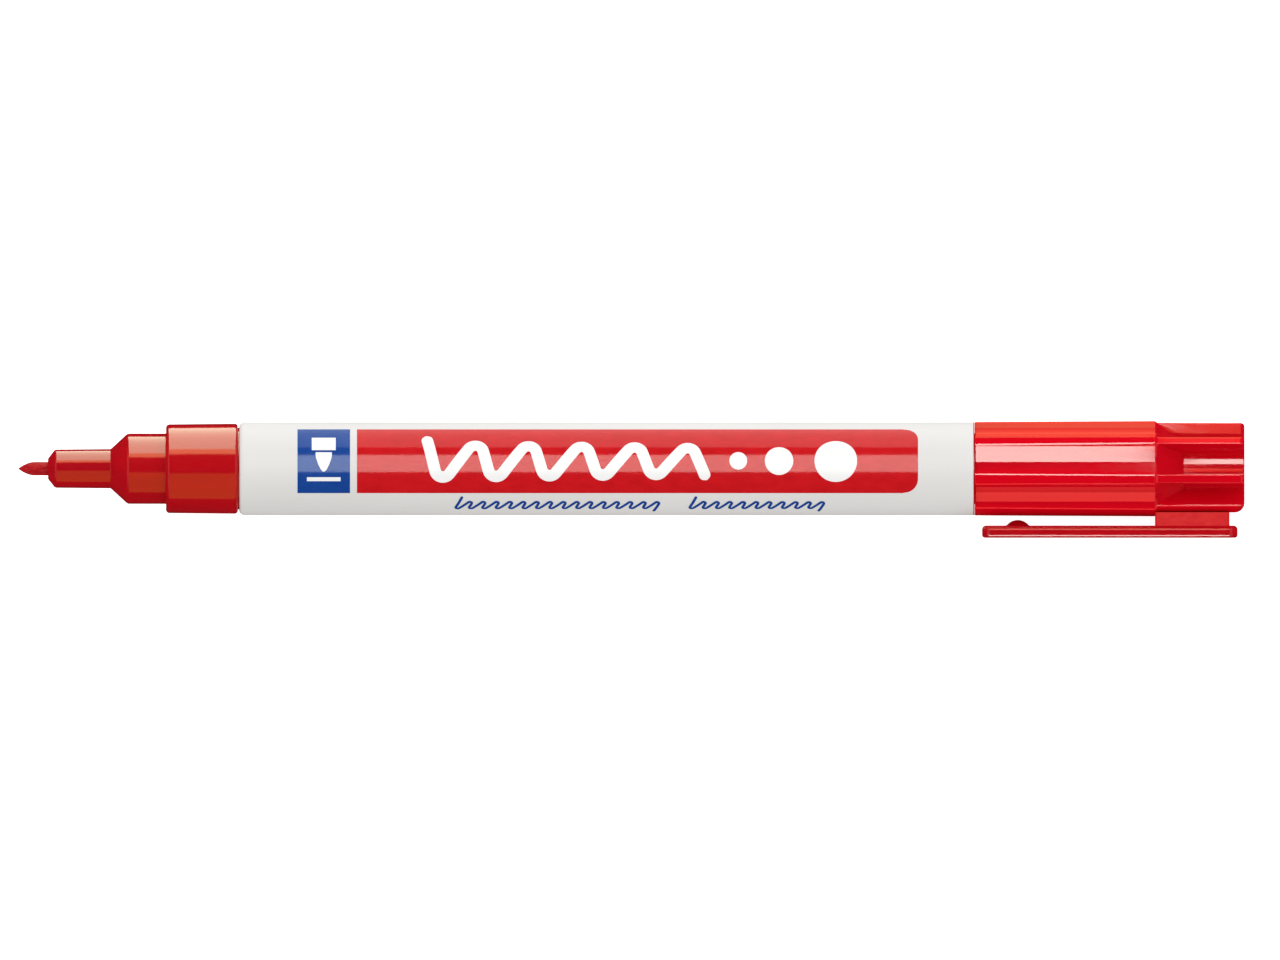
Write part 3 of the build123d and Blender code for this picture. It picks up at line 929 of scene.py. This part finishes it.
# The grained block's red is paler than the clip's: a painted sheen for the light its rough skin scatters, on
# top of its real roughness and pits.
block_sheen_red = moulded(
    "clip_block_grained_sheen_red",
    bright=(0.76, 0.014, 0.014),
    deep=(0.68, 0.003, 0.010),
    tone_and_shade_share=lambda tree: ranged(
        tree, grain(tree, 0.45, stretch=2.5, detail=6, seed=0.6), 0.36, 0.66, 0.0, 1.0
    ),
    rough=0.5,
    pitted=0.8,
    texture=0.25,
)
block_sheen_red.node_tree.nodes["Principled BSDF"].inputs["Specular IOR Level"].default_value = 0.08
bar_layers = [(clip_outer, 2 * clip_round), *eased(clip_outer, -1, clip_round)]
bar_layers += [*reversed(eased(clip_inner, 1, clip_round_inner)), (clip_inner, clip_round_inner + 0.1)]
bar = slab(x_clip, x_clip_end, clip_width, clip_corner, bar_layers, pitch=0.4)
clip = keep_mesh("clip_moulding", bar, clip_red)
block_heights = (clip_inner + 0.5, clip_inner + 0.02, clip_pad + 0.05, clip_pad - 0.03)
block_layers = [(out, 0.0) for out in block_heights]
block = slab(x_root, x_root + root_length, root_width, root_corner, block_layers, pitch=1.2)
block = keep_mesh("clip_block", block, clip_red)
dome_shell = bmesh.new()
dome_rows = []
dome_foot = sqrt(bump_r**2 - (bump_r - bump_height) ** 2)
dome_profile = [(clip_inner + 0.4, dome_foot + bump_skirt), (clip_inner + 0.005, dome_foot + bump_skirt)]
dome_profile += [(clip_inner - 0.03, dome_foot + 0.03)]
for turn in steps(0.92, 0.06, 14):
    dome_profile.append((clip_inner + bump_r - bump_height - bump_r * cos(turn), bump_r * sin(turn)))
for out, r in dome_profile:
    spots = (rect(r, 2 * pi * k / bump_around) for k in range(bump_around))
    points = (on_pen(x_bump + spot.real, complex(out, spot.imag)) for spot in spots)
    dome_rows.append([dome_shell.verts.new(point) for point in points])
for here, there in zip(dome_rows, dome_rows[1:]):
    for k in range(bump_around):
        dome_shell.faces.new((here[k], here[k - 1], there[k - 1], there[k]))
dome_shell.faces.new(dome_rows[0])
dome_shell.faces.new(dome_rows[-1])
dome = keep_mesh("clip_bump", dome_shell, clip_red)
for lump in (block, dome):
    union = clip.modifiers.new(lump.name, "BOOLEAN")
    union.operation, union.object, union.solver = "UNION", lump, "EXACT"
whole_clip = bpy.data.meshes.new_from_object(clip.evaluated_get(bpy.context.evaluated_depsgraph_get()))
for piece in (clip, block, dome):
    bpy.data.objects.remove(piece)
clip_shell = bmesh.new()
clip_shell.from_mesh(whole_clip)
# Faces on the block take the paler red with its painted sheen.
for face in clip_shell.faces:
    middle = face.calc_center_median() / mm
    on_block = middle.x > x_root - root_margin and middle.dot(to_clip) < clip_inner - 0.02
    face.material_index = int(on_block)
clip = keep_mesh("clip_moulding", clip_shell, clip_red)
clip.data.materials.append(block_sheen_red)
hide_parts("clip_arm", "clip_root")
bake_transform(clip)

# ---- Floor, light and camera ----
# The pen lies on a white light table. Soft boxes that only gloss sees draw the reflections along it. An
# even glow lights every side for matt colour, and gloss sees a fainter, warmer one towards the pen's ends.

floor_half, floor_gap = 3.0, 0.01
view_width, view_ahead, view_below, view_away = 144.384, 3.799, 1.275, 600
floor_shell = bmesh.new()
bmesh.ops.create_grid(floor_shell, x_segments=2, y_segments=2, size=floor_half)
bmesh.ops.translate(floor_shell, verts=floor_shell.verts, vec=(0, 0, cad_box[0].z - floor_gap * mm))
table_white, _, table_skin = finish_of("light_table")
table_skin.inputs["Base Color"].default_value = (0.9, 0.9, 0.9, 1)
table_skin.inputs["Emission Color"].default_value = (1, 1, 1, 1)
table_skin.inputs["Emission Strength"].default_value = 0.9
floor = keep_mesh("floor", floor_shell, table_white)
floor.visible_glossy = floor.visible_diffuse = floor.visible_shadow = False

lift_up = -to_clip
world = bpy.data.worlds.new("glow")
bpy.context.scene.world = world
world.use_nodes = True
glow = world.node_tree
glow.nodes.clear()
look = put(glow, "ShaderNodeTexCoord").outputs["Generated"]
dotted = {"operation": "DOT_PRODUCT"}
rise = put(glow, "ShaderNodeVectorMath", look, lift_up, settings=dotted).outputs["Value"]
level = ranged(glow, rise, -1, 1, 0.68, 1.2)
soft = put(glow, "ShaderNodeBackground", (1, 0.995, 0.985, 1), Strength=level).outputs[0]
sideways = put(glow, "ShaderNodeVectorMath", look, along, settings=dotted).outputs["Value"]
sideways = sum_of(glow, "ABSOLUTE", sideways)
past_side, before_end = ranged(glow, sideways, 0.2, 0.5, 0, 1), ranged(glow, sideways, 0.72, 0.8, 1, 0)
above = put(glow, "ShaderNodeVectorMath", look, facing, settings=dotted).outputs["Value"]
ends = sum_of(glow, "MULTIPLY", past_side, before_end)
ends = sum_of(glow, "MULTIPLY", ends, ranged(glow, above, 0.15, 0.7, 0, 0.9))
ends = sum_of(glow, "ADD", ends, 0.02)
dark = put(glow, "ShaderNodeBackground", (1, 0.8, 0.7, 1), Strength=ends).outputs[0]
for_gloss = put(glow, "ShaderNodeLightPath").outputs["Is Glossy Ray"]
both = put(glow, "ShaderNodeMixShader", for_gloss, soft, dark).outputs[0]
put(glow, "ShaderNodeOutputWorld", both)


def lit_group(name, *pieces):
    """Pieces that a set of soft boxes is for."""
    group = bpy.data.collections.new(name)
    for piece in pieces:
        group.objects.link(piece)
    return group


def soft_box(name, group, low, high, x_from, x_to, radiance, tint, away=0.4):
    """A panel mirrored in a group of pieces between two angles, counted from the viewer upwards."""
    middle, half = radians(low + high) / 2, radians(high - low) / 2
    toward = facing * cos(middle) + lift_up * sin(middle)
    light = bpy.data.lights.new(name, "AREA")
    light.shape = "RECTANGLE"
    light.size, light.size_y = (x_to - x_from) * mm, 2 * away * tan(half)
    light.energy = radiance * pi * light.size * light.size_y
    light.color = tint
    lamp = bpy.data.objects.new(name, light)
    turned_to = Matrix((along, toward.cross(along), toward)).transposed()
    place = toward * away + along * (x_from + x_to) / 2 * mm
    lamp.matrix_world = Matrix.Translation(place) @ turned_to.to_4x4()
    lamp.visible_camera = lamp.visible_diffuse = False
    lamp.light_linking.receiver_collection = group
    bpy.context.scene.collection.objects.link(lamp)


prints = [piece for piece in bpy.context.scene.objects if piece.name.startswith("print_")]
for_barrel = lit_group("for_barrel", barrel, *prints)
for_section = lit_group("for_section", nib_holder, nib)
for_cap = lit_group("for_cap", cap, rear_plug)
for_clip = lit_group("for_clip", clip)
neutral, warm, orange, red = (0.93, 1, 0.93), (0.78, 1, 0.73), (1, 0.55, 0.25), (1, 0.12, 0.09)
near_end, far_end = -160, 160
soft_box("box_barrel_front", for_barrel, -8, 34, near_end, far_end, 9.5, neutral)
soft_box("box_barrel_upper", for_barrel, 54, 114, near_end, far_end, 3, neutral)
soft_box("box_cap_front", for_cap, -7.4, 32, near_end, x_sleeve, 13, neutral)
soft_box("box_cap_top", for_cap, 82, 110, near_end, far_end, 2.2, (1, 0.6, 0.28))
soft_box("box_cap_back", for_cap, 110, 165, near_end, far_end, 2.5, (1, 0.2, 0.1))
soft_box("box_cap_low", for_cap, -84, -56, near_end, far_end, 4.2, red)
soft_box("box_cap_lowest", for_cap, -104, -56, near_end, far_end, 2.4, red)
soft_box("box_cap_core", for_cap, 22, 58, x_ramp - 0.2, x_cap + 30, 14, neutral)
soft_box("box_cap_fins", for_cap, -14, 1, x_sleeve + 0.3, x_cap + 2, 6, (1, 0.12, 0.06))
soft_box("box_cap_walls", for_cap, 58, 82, x_sleeve + 0.3, x_cap + 2, 4, red)
soft_box("box_section_upper", for_section, 52, 130, near_end, far_end, 6.3, warm)
soft_box("box_section_edge", for_section, 38, 52, near_end, far_end, 5.5, orange)
soft_box("box_section_low", for_section, -84, -12, near_end, far_end, 1, (1, 0.55, 0.08))
soft_box("box_clip_edge", for_clip, -44, -8, near_end, far_end, 13, neutral)
soft_box("box_clip_inner", for_clip, 5, 26, near_end, far_end, 7, (1, 0.45, 0.33))

camera = bpy.data.cameras.new("camera")
camera.type = "ORTHO"
camera.ortho_scale = view_width * mm
camera.clip_start, camera.clip_end = 0.01, 10
eye = bpy.data.objects.new("camera", camera)
eye.rotation_euler = Matrix((along, lift_up, facing)).transposed().to_euler()
eye.location = (along * view_ahead - lift_up * view_below + facing * view_away) * mm
bpy.context.scene.collection.objects.link(eye)
bpy.context.scene.camera = eye
bpy.context.scene.view_settings.view_transform = "Standard"
